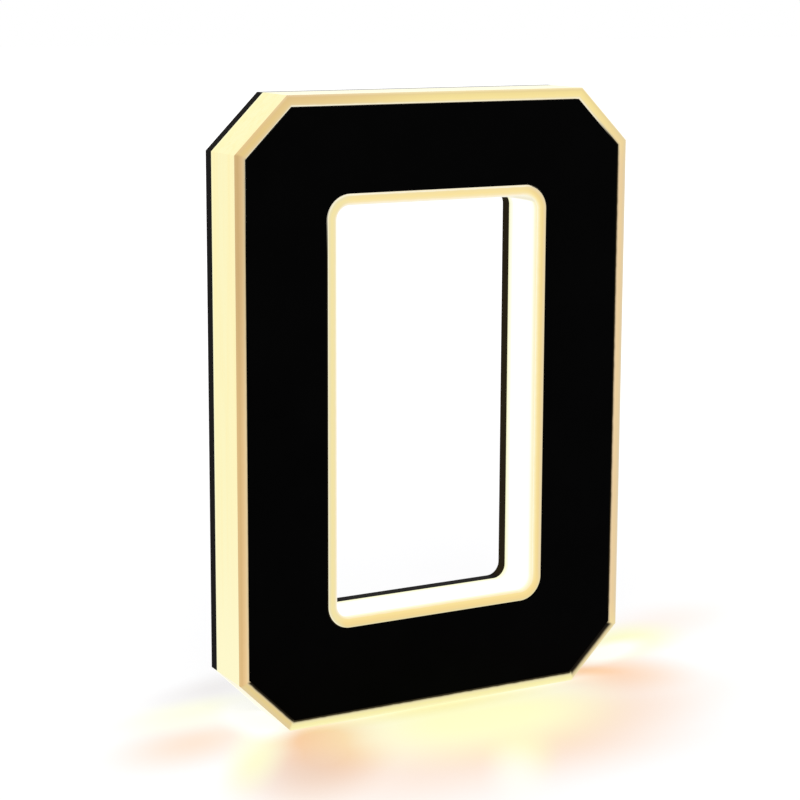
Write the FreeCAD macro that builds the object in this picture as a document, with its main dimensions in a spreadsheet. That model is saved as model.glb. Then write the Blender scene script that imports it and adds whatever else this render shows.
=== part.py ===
import FreeCAD, Part
import math
import os

import Sketcher

# An illuminated house number: a digit 0 cut from opal acrylic, lit from inside, with a black face
# set into its front and a black plate closing its back.
# Millimetres. +X is the reader's right, the face looks along -Y, +Z is up, and the sign stands on
# its bottom edge at z = 0. Every piece is drawn about the middle of the sign and lifted half its
# height, so the outlines are symmetric about the sketch axes.

SIZES = {
    # the digit
    "height": 200.0,
    "width": 141.0,
    "stroke": 34.2,
    "corner_leg": 17.5,
    "opening_radius": 4.5,
    "body_depth": 17.5,
    "back_thickness": 4.5,
    # the face plate, let into the front so that a lit rim stays round it
    "rim": 3.3,
    "glow_gap": 0.3,
    "face_thickness": 2.0,
    "bond_thickness": 0.2,
    "bond_inset": 1.5,
    "edge_break": 0.4,
    # the light chamber, milled from behind
    "wall": 9.0,
    "web": 3.0,
    "cutter_radius": 2.0,
    "seal_width": 1.6,
    "seal_depth": 1.2,
    "seal_inset": 1.0,
    "seal_play": 0.05,
    # the back plate and its screws
    "land_height": 1.5,
    "land_gap": 0.25,
    "screw_radius": 1.0,
    "screw_hole_radius": 1.2,
    "screw_head_radius": 1.9,
    "screw_head_rim": 0.2,
    "screw_length": 8.0,
    "screw_lead": 0.25,
    "screw_socket": 0.75,
    "screw_socket_depth": 0.8,
    "thread_play": 0.05,
    "body_insert_radius": 1.6,
    "body_insert_length": 4.5,
    "insert_groove": 0.25,
    "insert_lead": 0.4,
    "insert_relief": 0.5,
    # the inserts for wall studs, in bosses on the plate's inner side
    "stud_bore_radius": 1.65,
    "stud_insert_radius": 2.8,
    "stud_insert_length": 5.0,
    "stud_boss_radius": 4.6,
    "stud_floor": 1.0,
    # the light-emitting boards
    "board_width": 10.0,
    "board_thickness": 1.6,
    "board_corner": 1.0,
    "tape_thickness": 0.2,
    "tape_inset": 0.5,
    "chip_pitch": 10.5,
    "chip_end_room": 6.5,
    "chip_across": 3.5,
    "chip_along": 2.8,
    "chip_height": 0.8,
    "chip_rim": 0.45,
    "chip_well": 0.3,
    "resistor_across": 1.6,
    "resistor_along": 3.2,
    "resistor_height": 0.6,
    "resistor_gap": 0.6,
    # the wires and the connectors that they plug into
    "wire_radius": 0.6,
    "wire_play": 0.05,
    "wire_entry": 1.5,
    "pole_pitch": 2.5,
    "connector_width": 6.2,
    "connector_length": 3.6,
    "connector_height": 2.6,
    "connector_setback": 0.5,
    # the power inlet
    "inlet_room": 10.0,
    "inlet_flange_radius": 5.2,
    "inlet_flange": 1.6,
    "inlet_barrel_radius": 3.7,
    "inlet_barrel": 8.4,
    "inlet_bore_radius": 2.9,
    "inlet_play": 0.1,
    "inlet_washer": 0.6,
    "inlet_nut_circle": 5.45,
    "inlet_nut": 2.0,
    "insulator_plug": 1.4,
    "insulator_flange": 1.0,
    "pin_radius": 1.05,
    "pin_setback": 1.0,
    "pin_stem_radius": 0.5,
    "pin_nose": 0.3,
    "spring_width": 1.6,
    "spring_thickness": 0.3,
    "spring_reach": 2.7,
    "tag_width": 0.8,
    "tag_height": 1.2,
    "tag_foot": 0.4,
    "tag_length": 1.8,
    "tag_joint": 0.65,
}

CHIPS_PER_RESISTOR = 3
# the middle groove of an insert, as shares of the insert's length from its mouth
GROOVE_START, GROOVE_END = 0.4, 0.6
HAIR = 1e-6

doc = FreeCAD.newDocument("house_number")
sheet = doc.addObject("Spreadsheet::Sheet", "Sizes")
for row, (name, number) in enumerate(SIZES.items(), 1):
    sheet.set(f"A{row}", name)
    sheet.set(f"B{row}", str(number))
    sheet.setAlias(f"B{row}", name)
doc.recompute()


class Size:
    """A length with its present value and the expression that gives it from the sheet."""

    def __init__(self, value, text):
        self.value = value
        self.text = text

    def __add__(self, other):
        other = as_size(other)
        return Size(self.value + other.value, f"({self.text} + {other.text})")

    def __sub__(self, other):
        other = as_size(other)
        return Size(self.value - other.value, f"({self.text} - {other.text})")

    def __mul__(self, factor):
        return Size(self.value * factor, f"({self.text} * {factor})")

    def __truediv__(self, divisor):
        return Size(self.value / divisor, f"({self.text} / {divisor})")

    def __neg__(self):
        return Size(-self.value, f"(-{self.text})")


def as_size(thing):
    return thing if isinstance(thing, Size) else Size(thing, str(thing))


def size(name):
    """The sheet's own value of a named size."""
    return Size(float(getattr(sheet, name)), f"Sizes.{name}")


def bind(thing, path, length):
    thing.setExpression(path, as_size(length).text)


def vector(x, y, z=0.0):
    return FreeCAD.Vector(x, y, z)


ZERO = as_size(0)
HEIGHT = size("height")
WIDTH = size("width")
STROKE = size("stroke")
WALL = size("wall")

# planes across the sign, from the face to the back
FRONT = -(size("body_depth") + size("back_thickness")) / 2
SEAT = (size("body_depth") - size("back_thickness")) / 2
REAR = (size("body_depth") + size("back_thickness")) / 2
RECESS = size("face_thickness") + size("bond_thickness")
LAND = SEAT - size("land_height")
BOARD_BACK = LAND - size("tape_thickness")
BOARD_TOP = BOARD_BACK - size("board_thickness")
WIRE_LEVEL = BOARD_TOP - size("connector_height") / 2

# the middle line of the stroke, and half the opening
LINE_X = (WIDTH - STROKE) / 2
LINE_Z = (HEIGHT - STROKE) / 2
OPEN_X = WIDTH / 2 - STROKE
OPEN_Z = HEIGHT / 2 - STROKE


# ---------------------------------------------------------------- drawing


def plane_of(body, role):
    """One of a body's own origin planes or axes."""
    return next(f for f in body.Origin.OriginFeatures if f.Role == role)


def new_body(label, x=ZERO, z=ZERO):
    """A body whose origin is x and z away from the middle of the sign."""
    body = doc.addObject("PartDesign::Body", label)
    body.Label = label
    bind(body, "Placement.Base.x", x)
    bind(body, "Placement.Base.z", z + HEIGHT / 2)
    return body


def new_sketch(body, name, y=ZERO):
    """A sketch across the sign at depth y, seen from the front: its x is X and its y is Z."""
    sketch = body.newObject("Sketcher::SketchObject", name)
    sketch.AttachmentSupport = (plane_of(body, "XZ_Plane"), [""])
    sketch.MapMode = "FlatFace"
    bind(sketch, "AttachmentOffset.Base.z", -y)
    return sketch


def constrain(sketch, *words):
    return sketch.addConstraint(Sketcher.Constraint(*words))


def drive(sketch, kind, places, length):
    """A dimension that follows the sheet."""
    number = constrain(sketch, kind, *places, length.value)
    bind(sketch, f"Constraints[{number}]", length)


def polygon(sketch, corners):
    """A closed run of straight lines. Returns their numbers."""
    first = sketch.GeometryCount
    for start, end in zip(corners, corners[1:] + corners[:1]):
        sketch.addGeometry(Part.LineSegment(vector(*start), vector(*end)), False)
    lines = list(range(first, first + len(corners)))
    for line, following in zip(lines, lines[1:] + lines[:1]):
        constrain(sketch, "Coincident", line, 2, following, 1)
    return lines


def outline(sketch, corners):
    """A closed outline whose corners are each placed from the sketch's origin by two sizes."""
    lines = polygon(sketch, [(x.value, y.value) for x, y in corners])
    for line, (x, y) in zip(lines, corners):
        drive(sketch, "DistanceX", (-1, 1, line, 1), x)
        drive(sketch, "DistanceY", (-1, 1, line, 1), y)


def rectangle(sketch, left, bottom, right, top):
    outline(sketch, [(left, bottom), (right, bottom), (right, top), (left, top)])


def digit_sides(inset):
    """The moved-in outline's width and height, and what its cut corners leave of them."""
    wide = WIDTH - inset * 2
    tall = HEIGHT - inset * 2
    leg = size("corner_leg") - inset * (2 - math.sqrt(2))
    return wide, tall, wide - leg * 2, tall - leg * 2


def digit_outline(sketch, inset):
    """The digit's outer outline, a rectangle with its four corners cut at 45 degrees, moved in."""
    wide, tall, flat_wide, flat_tall = digit_sides(inset)
    a, b = flat_wide.value / 2, flat_tall.value / 2
    w, h = wide.value / 2, tall.value / 2
    corners = [(-a, -h), (a, -h), (w, -b), (w, b), (a, h), (-a, h), (-w, b), (-w, -b)]
    bottom, _, right, _, top, _, left, _ = polygon(sketch, corners)
    across, up = -2, -1
    constrain(sketch, "Symmetric", bottom, 1, bottom, 2, across)
    constrain(sketch, "Symmetric", top, 1, top, 2, across)
    constrain(sketch, "Symmetric", right, 1, left, 2, across)
    constrain(sketch, "Symmetric", right, 2, left, 1, across)
    constrain(sketch, "Symmetric", right, 1, right, 2, up)
    constrain(sketch, "Symmetric", bottom, 2, top, 1, up)
    drive(sketch, "DistanceX", (bottom, 1, bottom, 2), flat_wide)
    drive(sketch, "DistanceY", (right, 1, right, 2), flat_tall)
    drive(sketch, "DistanceX", (left, 2, right, 1), wide)
    drive(sketch, "DistanceY", (bottom, 2, top, 1), tall)


def rounded_rectangle(sketch, wide, tall, radius):
    """A rectangle about the sketch's origin, with four corner arcs."""
    first = sketch.GeometryCount
    w, h, r = wide.value / 2, tall.value / 2, radius.value
    ends = [
        ((r - w, -h), (w - r, -h)),
        ((w, r - h), (w, h - r)),
        ((w - r, h), (r - w, h)),
        ((-w, h - r), (-w, r - h)),
    ]
    centres = [(w - r, r - h), (w - r, h - r), (r - w, h - r), (r - w, r - h)]
    for turn, ((start, end), centre) in enumerate(zip(ends, centres)):
        sketch.addGeometry(Part.LineSegment(vector(*start), vector(*end)), False)
        circle = Part.Circle(vector(*centre), vector(0, 0, 1), r)
        begin = (turn - 1) * math.pi / 2
        sketch.addGeometry(Part.ArcOfCircle(circle, begin, begin + math.pi / 2), False)
    lines = [first, first + 2, first + 4, first + 6]
    arcs = [line + 1 for line in lines]
    for line, arc, following in zip(lines, arcs, lines[1:] + lines[:1]):
        constrain(sketch, "Tangent", line, 2, arc, 1)
        constrain(sketch, "Tangent", arc, 2, following, 1)
    for arc in arcs[1:]:
        constrain(sketch, "Equal", arcs[0], arc)
    for line, way in zip(lines, ("Horizontal", "Vertical") * 2):
        constrain(sketch, way, line)
    constrain(sketch, "Symmetric", arcs[0], 3, arcs[2], 3, -1, 1)
    drive(sketch, "Radius", (arcs[0],), radius)
    drive(sketch, "DistanceX", (lines[3], 1, lines[1], 1), wide)
    drive(sketch, "DistanceY", (lines[0], 1, lines[2], 2), tall)


def opening_outline(sketch, outset):
    """The edge of the digit's opening, moved out into the stroke."""
    wide = (OPEN_X + outset) * 2
    tall = (OPEN_Z + outset) * 2
    rounded_rectangle(sketch, wide, tall, size("opening_radius") + outset)


def band(sketch, outer, inner):
    """A closed band round the digit: outer in from its outline, inner out from its opening."""
    digit_outline(sketch, outer)
    opening_outline(sketch, inner)


def circles(sketch, places, radius):
    """A circle at each place."""
    for x, z in places:
        circle = Part.Circle(vector(x.value, z.value), vector(0, 0, 1), radius.value)
        number = sketch.addGeometry(circle, False)
        drive(sketch, "Radius", (number,), radius)
        drive(sketch, "DistanceX", (-1, 1, number, 3), x)
        drive(sketch, "DistanceY", (-1, 1, number, 3), z)


# ---------------------------------------------------------------- features


def pad(body, name, sketch, length):
    """Material from the sketch towards the front."""
    feature = body.newObject("PartDesign::Pad", name)
    feature.Profile = sketch
    bind(feature, "Length", length)
    doc.recompute()
    return feature


def cut(body, name, sketch, depth, forwards):
    """A pocket from the sketch towards the front or towards the back."""
    before = body.Shape.Volume
    feature = body.newObject("PartDesign::Pocket", name)
    feature.Profile = sketch
    feature.Reversed = forwards
    bind(feature, "Length", depth)
    doc.recompute()
    if body.Shape.Volume >= before:
        raise RuntimeError(f"{name} takes nothing away")
    return feature


def turn(body, name, sketch):
    """A solid turned about the Y axis, through the body's origin."""
    feature = body.newObject("PartDesign::Revolution", name)
    feature.Profile = sketch
    feature.ReferenceAxis = (plane_of(body, "Y_Axis"), [""])
    feature.Angle = 360
    doc.recompute()
    return feature


def turned_profile(body, corners):
    """A half section in the plane x = 0, given as pairs of radius and depth y."""
    sketch = body.newObject("Sketcher::SketchObject", f"{body.Name}_section")
    sketch.AttachmentSupport = (plane_of(body, "XY_Plane"), [""])
    sketch.MapMode = "FlatFace"
    outline(sketch, corners)
    return turn(body, f"{body.Name}_turned", sketch)


def break_edges(body, name, y, amount):
    """A small chamfer on the outer outline's and the opening's edges in the plane at depth y."""
    limit_x, limit_z = WIDTH.value / 2, HEIGHT.value / 2
    open_x, open_z = OPEN_X.value, OPEN_Z.value
    leg = size("corner_leg").value
    base, names = body.Tip, []
    for number, edge in enumerate(base.Shape.Edges, 1):
        middle = edge.CenterOfMass
        if any(abs(v.Point.y - y.value) > HAIR for v in edge.Vertexes):
            continue
        x, z = abs(middle.x), abs(middle.z)
        on_side = x > limit_x - HAIR or z > limit_z - HAIR
        on_corner = x + z > limit_x + limit_z - leg - HAIR
        in_opening = x < open_x + HAIR and z < open_z + HAIR
        if on_side or on_corner or in_opening:
            names.append(f"Edge{number}")
    feature = body.newObject("PartDesign::Chamfer", name)
    feature.Base = (base, names)
    bind(feature, "Size", amount)
    doc.recompute()
    return feature


def round_corners(body, name, inset, radius):
    """Fillets on the edges along Y at the corners of a digit outline that is moved in by inset."""
    half_wide, half_tall, half_flat, half_side = (side.value / 2 for side in digit_sides(inset))
    corners = [(half_flat, half_tall), (half_wide, half_side)]
    base, names = body.Tip, []
    for number, edge in enumerate(base.Shape.Edges, 1):
        middle, start = edge.CenterOfMass, edge.Vertexes[0].Point
        along_y = math.dist((middle.x, middle.z), (start.x, start.z)) < HAIR
        if along_y and any(math.dist((abs(start.x), abs(start.z)), c) < HAIR for c in corners):
            names.append(f"Edge{number}")
    feature = body.newObject("PartDesign::Fillet", name)
    feature.Base = (base, names)
    bind(feature, "Radius", radius)
    doc.recompute()
    return feature


def scatter(label, piece, places):
    """Copies of one piece as one node, each a separate solid. A place is x, z and a turn about Y."""
    copies = []
    for number, (x, z, angle) in enumerate(places, 1):
        copy = doc.addObject("App::Link", f"{label}_{number}")
        copy.LinkedObject = piece
        spot = vector(x.value, 0, z.value + HEIGHT.value / 2)
        copy.Placement = FreeCAD.Placement(spot, FreeCAD.Rotation(vector(0, 1, 0), angle))
        bind(copy, "Placement.Base.x", x)
        bind(copy, "Placement.Base.z", z + HEIGHT / 2)
        copies.append(copy)
    node = doc.addObject("Part::Compound", label)
    node.Label = label
    node.Links = copies
    return node


def pattern_piece(label):
    """A body drawn about the origin, to be copied by scatter. It isn't a node itself."""
    body = doc.addObject("PartDesign::Body", label)
    body.Label = label
    return body


# ---------------------------------------------------------------- places


def four_corners(x, z):
    return [(x, z), (-x, z), (-x, -z), (x, -z)]


# The screws stand in the walls, midway between the edge and the seal: at the four cut corners and
# at the middle of the long sides in the outer wall, and at the middle of each side in the inner.
SCREW_INSET = (WALL - size("seal_inset") - size("seal_width")) / 2
CORNER_INSET = size("corner_leg") / 2 + SCREW_INSET / math.sqrt(2)
SCREW_PLACES = four_corners(WIDTH / 2 - CORNER_INSET, HEIGHT / 2 - CORNER_INSET) + [
    (WIDTH / 2 - SCREW_INSET, ZERO),
    (-(WIDTH / 2 - SCREW_INSET), ZERO),
    (OPEN_X + SCREW_INSET, ZERO),
    (-(OPEN_X + SCREW_INSET), ZERO),
    (ZERO, OPEN_Z + SCREW_INSET),
    (ZERO, -(OPEN_Z + SCREW_INSET)),
]
# The studs stand on the diagonals, midway between the chamber's inner and outer walls.
STUD_REACH = (STROKE * 2 - size("corner_leg") + size("opening_radius") * (2 + math.sqrt(2))) / 4
STUD_PLACES = four_corners(
    OPEN_X - size("opening_radius") + STUD_REACH,
    OPEN_Z - size("opening_radius") + STUD_REACH,
)
INLET_PLACE = (ZERO, -LINE_Z)


# ---------------------------------------------------------------- the shell


def make_light_body():
    """The opal acrylic digit: recessed in front for the face, milled from behind for the lights."""
    body = new_body("light_body")
    profile = new_sketch(body, "body_profile", SEAT)
    band(profile, ZERO, ZERO)
    pad(body, "body_block", profile, size("body_depth"))

    recess = new_sketch(body, "face_recess_profile", FRONT)
    band(recess, size("rim"), size("rim"))
    cut(body, "face_recess", recess, RECESS, forwards=False)

    channel = new_sketch(body, "channel_profile", SEAT)
    band(channel, WALL, WALL)
    cut(body, "channel", channel, size("body_depth") - RECESS - size("web"), forwards=True)
    round_corners(body, "channel_corners", WALL, size("cutter_radius"))

    near, far = WALL - size("seal_inset"), WALL - size("seal_inset") - size("seal_width")
    grooves = new_sketch(body, "seal_groove_profile", SEAT)
    band(grooves, far, far)
    band(grooves, near, near)
    cut(body, "seal_grooves", grooves, size("seal_depth"), forwards=True)

    seats = new_sketch(body, "insert_seat_profile", SEAT)
    circles(seats, SCREW_PLACES, size("body_insert_radius"))
    depth = size("body_insert_length") + size("insert_relief")
    cut(body, "insert_seats", seats, depth, forwards=True)
    break_edges(body, "front_edge_break", FRONT, size("edge_break"))
    return body


def make_face_plate():
    body = new_body("face_plate")
    inset = size("rim") + size("glow_gap")
    profile = new_sketch(body, "face_profile", FRONT + size("face_thickness"))
    band(profile, inset, inset)
    pad(body, "face_sheet", profile, size("face_thickness"))
    return body


def make_face_bond():
    body = new_body("face_bond")
    inset = size("rim") + size("glow_gap") + size("bond_inset")
    profile = new_sketch(body, "bond_profile", FRONT + RECESS)
    band(profile, inset, inset)
    pad(body, "bond_film", profile, size("bond_thickness"))
    return body


def make_back_plate():
    """The black plate: a land that drops into the channel, stud bosses, screw holes, inlet seat."""
    body = new_body("back_plate")
    profile = new_sketch(body, "plate_profile", REAR)
    band(profile, ZERO, ZERO)
    pad(body, "plate_sheet", profile, size("back_thickness"))

    inset = WALL + size("land_gap")
    land = new_sketch(body, "land_profile", SEAT)
    band(land, inset, inset)
    pad(body, "land", land, size("land_height"))

    bosses = new_sketch(body, "boss_profile", LAND)
    circles(bosses, STUD_PLACES, size("stud_boss_radius"))
    seat_depth = size("stud_insert_length") + size("insert_relief")
    plate_depth = size("back_thickness") + size("land_height")
    pad(body, "stud_bosses", bosses, seat_depth + size("stud_floor") - plate_depth)

    stud_seats = new_sketch(body, "stud_seat_profile", REAR)
    circles(stud_seats, STUD_PLACES, size("stud_insert_radius"))
    cut(body, "stud_seats", stud_seats, seat_depth, forwards=True)

    flange_seat = new_sketch(body, "inlet_seat_profile", REAR)
    circles(flange_seat, [INLET_PLACE], size("inlet_flange_radius") + size("inlet_play"))
    depth = size("inlet_flange") + size("inlet_washer")
    cut(body, "inlet_seat", flange_seat, depth, forwards=True)

    barrel_hole = new_sketch(body, "inlet_hole_profile", REAR)
    circles(barrel_hole, [INLET_PLACE], size("inlet_barrel_radius") + size("inlet_play"))
    cut(body, "inlet_hole", barrel_hole, plate_depth, forwards=True)

    break_edges(body, "rear_edge_break", REAR, size("edge_break"))

    screw_holes = new_sketch(body, "screw_hole_profile", REAR)
    circles(screw_holes, SCREW_PLACES, size("screw_hole_radius"))
    doc.recompute()
    before = body.Shape.Volume
    holes = body.newObject("PartDesign::Hole", "screw_holes")
    holes.Profile = screw_holes
    holes.Threaded = False
    holes.DepthType = "Dimension"
    holes.DrillPoint = "Flat"
    holes.HoleCutType = "Countersink"
    holes.HoleCutCountersinkAngle = 90
    holes.Reversed = True
    bind(holes, "Depth", size("back_thickness"))
    bind(holes, "Diameter", size("screw_hole_radius") * 2)
    bind(holes, "HoleCutDiameter", (size("screw_head_radius") + size("screw_head_rim")) * 2)
    doc.recompute()
    if body.Shape.Volume >= before:
        raise RuntimeError("the screw holes take nothing away")
    return body


def make_seal(label, outline_of):
    """A square silicone cord lying in its groove, level with the seat."""
    body = new_body(label)
    play = size("seal_play")
    near = WALL - size("seal_inset") - play
    far = WALL - size("seal_inset") - size("seal_width") + play
    profile = new_sketch(body, f"{label}_profile", SEAT)
    outline_of(profile, near)
    outline_of(profile, far)
    pad(body, f"{label}_cord", profile, size("seal_depth"))
    return body


# ---------------------------------------------------------------- screws and inserts


def make_screw():
    """A countersunk screw with a hexagon socket, its head level with the back of the plate."""
    body = pattern_piece("screw_pattern")
    head, shank = size("screw_head_radius"), size("screw_radius")
    rim_end = REAR - size("screw_head_rim")
    cone_end = rim_end - (head - shank)
    tip = REAR - size("screw_length")
    lead = size("screw_lead")
    turned_profile(
        body,
        [
            (ZERO, REAR),
            (head, REAR),
            (head, rim_end),
            (shank, cone_end),
            (shank, tip + lead),
            (shank - lead, tip),
            (ZERO, tip),
        ],
    )
    socket = new_sketch(body, "socket_profile", REAR)
    hexagon(socket, size("screw_socket"))
    cut(body, "socket", socket, size("screw_socket_depth"), forwards=True)
    return body


def hexagon(sketch, radius):
    """A hexagon about the sketch's origin, with two of its sides level."""
    turns = [math.radians(60 * k) for k in range(6)]
    corners = [(radius * math.cos(t), radius * math.sin(t)) for t in turns]
    outline(sketch, corners)


def make_insert(label, mouth, radius, bore, length):
    """A brass insert with two gripping bands and a groove between them, its mouth at depth mouth."""
    body = pattern_piece(label)
    groove, lead = radius - size("insert_groove"), size("insert_lead")
    groove_start = mouth - length * GROOVE_START
    groove_end = mouth - length * GROOVE_END
    end = mouth - length
    turned_profile(
        body,
        [
            (bore, mouth),
            (radius, mouth),
            (radius, groove_start),
            (groove, groove_start),
            (groove, groove_end),
            (radius, groove_end),
            (radius, end + lead),
            (radius - lead, end),
            (bore, end),
        ],
    )
    return body


# ---------------------------------------------------------------- lights


def box_piece(body, name, y, across, along, height):
    """A block about the body's origin, standing on depth y towards the front."""
    profile = new_sketch(body, f"{name}_profile", y)
    rectangle(profile, -across / 2, -along / 2, across / 2, along / 2)
    pad(body, name, profile, height)


def make_chip():
    """A light-emitting chip: a pale block with a shallow well in its front."""
    body = pattern_piece("chip_pattern")
    across, along, rim = size("chip_across"), size("chip_along"), size("chip_rim")
    box_piece(body, "chip", BOARD_TOP, across, along, size("chip_height"))
    well = new_sketch(body, "well_profile", BOARD_TOP - size("chip_height"))
    inner_x, inner_z = across / 2 - rim, along / 2 - rim
    rectangle(well, -inner_x, -inner_z, inner_x, inner_z)
    cut(body, "chip_well", well, size("chip_well"), forwards=False)
    return body


def make_resistor():
    body = pattern_piece("resistor_pattern")
    across, along = size("resistor_across"), size("resistor_along")
    box_piece(body, "resistor", BOARD_TOP, across, along, size("resistor_height"))
    return body


def make_connector():
    """A two-pole wire connector. It sits at the upper end of a board and its wires leave upwards."""
    body = pattern_piece("connector_pattern")
    top = -size("connector_setback")
    bottom = top - size("connector_length")
    half = size("connector_width") / 2
    profile = new_sketch(body, "connector_profile", BOARD_TOP)
    rectangle(profile, -half, bottom, half, top)
    pad(body, "connector_block", profile, size("connector_height"))
    entries = body.newObject("Sketcher::SketchObject", "entry_profile")
    entries.AttachmentSupport = (plane_of(body, "XY_Plane"), [""])
    entries.MapMode = "FlatFace"
    bind(entries, "AttachmentOffset.Base.z", top)
    pole = size("pole_pitch") / 2
    hole = size("wire_radius") + size("wire_play")
    circles(entries, [(pole, WIRE_LEVEL), (-pole, WIRE_LEVEL)], hole)
    cut(body, "wire_entries", entries, size("wire_entry"), forwards=False)
    return body


def make_lit_board(side, x, z, length, upright, chip, resistor):
    """One board with its tape, its row of chips and a resistor beside every third of them."""
    width = size("board_width")

    def strip(label, y, inset, thickness, corner):
        body = new_body(label, x, z)
        profile = new_sketch(body, f"{label}_profile", y)
        across, along = width - inset * 2, length - inset * 2
        wide, tall = (across, along) if upright else (along, across)
        rounded_rectangle(profile, wide, tall, corner)
        pad(body, f"{label}_strip", profile, thickness)
        return body

    corner = size("board_corner")
    tape = strip(f"board_tape_{side}", LAND, size("tape_inset"), size("tape_thickness"), corner)
    board = strip(f"board_{side}", BOARD_BACK, ZERO, size("board_thickness"), corner)

    pitch = size("chip_pitch")
    room = length.value - 2 * size("chip_end_room").value
    count = 1 + int(room / pitch.value)

    def on_board(step, aside):
        """A place this many pitches along from the board's middle, and aside from its middle line."""
        away = pitch * step
        return (x + aside, z + away, 0) if upright else (x + away, z - aside, 90)

    steps = [k - (count - 1) / 2 for k in range(count)]
    aside = (size("chip_across") + size("resistor_across")) / 2 + size("resistor_gap")
    beside = [on_board(step, aside) for step in steps[::CHIPS_PER_RESISTOR]]
    chips = scatter(f"leds_{side}", chip, [on_board(step, ZERO) for step in steps])
    resistors = scatter(f"resistors_{side}", resistor, beside)
    return [tape, board, chips, resistors]


# ---------------------------------------------------------------- wires


def make_link_wire(label, radius):
    """A wire round a corner, from the upright board's connector to the level board's."""
    body = pattern_piece(label)
    stub = size("connector_setback") + size("wire_entry")
    path = new_sketch(body, f"{label}_path", WIRE_LEVEL)
    r, s = radius.value, stub.value
    path.addGeometry(Part.LineSegment(vector(r, s), vector(r, 0)), False)
    circle = Part.Circle(vector(0, 0), vector(0, 0, 1), r)
    path.addGeometry(Part.ArcOfCircle(circle, -math.pi / 2, 0), False)
    path.addGeometry(Part.LineSegment(vector(0, -r), vector(-s, -r)), False)
    constrain(path, "Coincident", 1, 3, -1, 1)
    constrain(path, "Tangent", 0, 2, 1, 2)
    constrain(path, "Tangent", 2, 1, 1, 1)
    constrain(path, "Vertical", 0)
    constrain(path, "Horizontal", 2)
    drive(path, "Radius", (1,), radius)
    drive(path, "DistanceY", (-1, 1, 0, 1), stub)
    drive(path, "DistanceX", (-1, 1, 2, 2), -stub)

    section = body.newObject("Sketcher::SketchObject", f"{label}_section")
    section.AttachmentSupport = (plane_of(body, "XY_Plane"), [""])
    section.MapMode = "FlatFace"
    bind(section, "AttachmentOffset.Base.z", stub)
    circles(section, [(radius, WIRE_LEVEL)], size("wire_radius"))
    return run_pipe(body, label, section, path)


def run_pipe(body, label, section, path):
    doc.recompute()
    pipe = body.newObject("PartDesign::AdditivePipe", f"{label}_run")
    pipe.Profile = section
    pipe.Spine = path
    doc.recompute()
    return body


def make_feed_wire(label, pole):
    """A wire from a tag of the inlet back to the connector beside it, in one level S bend."""
    body = new_body(label, INLET_PLACE[0], INLET_PLACE[1] + pole)
    path = body.newObject("Sketcher::SketchObject", f"{label}_path")
    path.AttachmentSupport = (plane_of(body, "XY_Plane"), [""])
    path.MapMode = "FlatFace"
    start = -size("tag_width") / 2
    end = -(size("inlet_room") + size("connector_setback") + size("wire_entry"))
    lead = size("wire_radius") * 2
    near, far = start - lead, -size("inlet_room")
    level = TAG_TIP + size("tag_joint")
    rise, run = WIRE_LEVEL.value - level.value, near.value - far.value
    half_turn = math.atan2(rise, run)
    bend = run / (2 * math.sin(2 * half_turn))
    first = Part.Circle(vector(near.value, level.value + bend), vector(0, 0, 1), bend)
    second = Part.Circle(vector(far.value, WIRE_LEVEL.value - bend), vector(0, 0, 1), bend)
    swing = 2 * half_turn
    down, up = -math.pi / 2, math.pi / 2
    from_tag = [vector(length.value, level.value) for length in (start, near)]
    to_board = [vector(length.value, WIRE_LEVEL.value) for length in (far, end)]
    path.addGeometry(Part.LineSegment(*from_tag), False)
    path.addGeometry(Part.ArcOfCircle(first, down - swing, down), False)
    path.addGeometry(Part.ArcOfCircle(second, up - swing, up), False)
    path.addGeometry(Part.LineSegment(*to_board), False)
    constrain(path, "Horizontal", 0)
    constrain(path, "Horizontal", 3)
    constrain(path, "Tangent", 0, 2, 1, 2)
    constrain(path, "Tangent", 1, 1, 2, 1)
    constrain(path, "Tangent", 2, 2, 3, 1)
    constrain(path, "Equal", 1, 2)
    drive(path, "DistanceX", (-1, 1, 0, 1), start)
    drive(path, "DistanceY", (-1, 1, 0, 1), level)
    drive(path, "DistanceX", (-1, 1, 0, 2), near)
    drive(path, "DistanceX", (-1, 1, 3, 1), far)
    drive(path, "DistanceX", (-1, 1, 3, 2), end)
    drive(path, "DistanceY", (-1, 1, 3, 2), WIRE_LEVEL)

    section = body.newObject("Sketcher::SketchObject", f"{label}_section")
    section.AttachmentSupport = (plane_of(body, "YZ_Plane"), [""])
    section.MapMode = "FlatFace"
    bind(section, "AttachmentOffset.Base.z", start)
    circles(section, [(level, ZERO)], size("wire_radius"))
    return run_pipe(body, label, section, path)


# ---------------------------------------------------------------- the power inlet

BARREL_BACK = REAR - size("inlet_flange")
BARREL_FRONT = BARREL_BACK - size("inlet_barrel")
TAG_BACK = BARREL_FRONT - size("insulator_flange")
TAG_TIP = TAG_BACK - size("tag_foot") - size("tag_length")


def make_inlet_housing():
    """The socket's threaded barrel and its flange, level with the back of the plate."""
    body = new_body("inlet_housing", *INLET_PLACE)
    bore, barrel = size("inlet_bore_radius"), size("inlet_barrel_radius")
    flange = size("inlet_flange_radius")
    corners = [
        (bore, REAR),
        (flange, REAR),
        (flange, BARREL_BACK),
        (barrel, BARREL_BACK),
        (barrel, BARREL_FRONT),
        (bore, BARREL_FRONT),
    ]
    turned_profile(body, corners)
    return body


def make_inlet_washer():
    body = new_body("inlet_washer", *INLET_PLACE)
    inner = size("inlet_barrel_radius") + size("inlet_play")
    outer = size("inlet_flange_radius")
    profile = new_sketch(body, "washer_profile", BARREL_BACK)
    circles(profile, [(ZERO, ZERO)], inner)
    circles(profile, [(ZERO, ZERO)], outer)
    pad(body, "washer_ring", profile, size("inlet_washer"))
    return body


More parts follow.
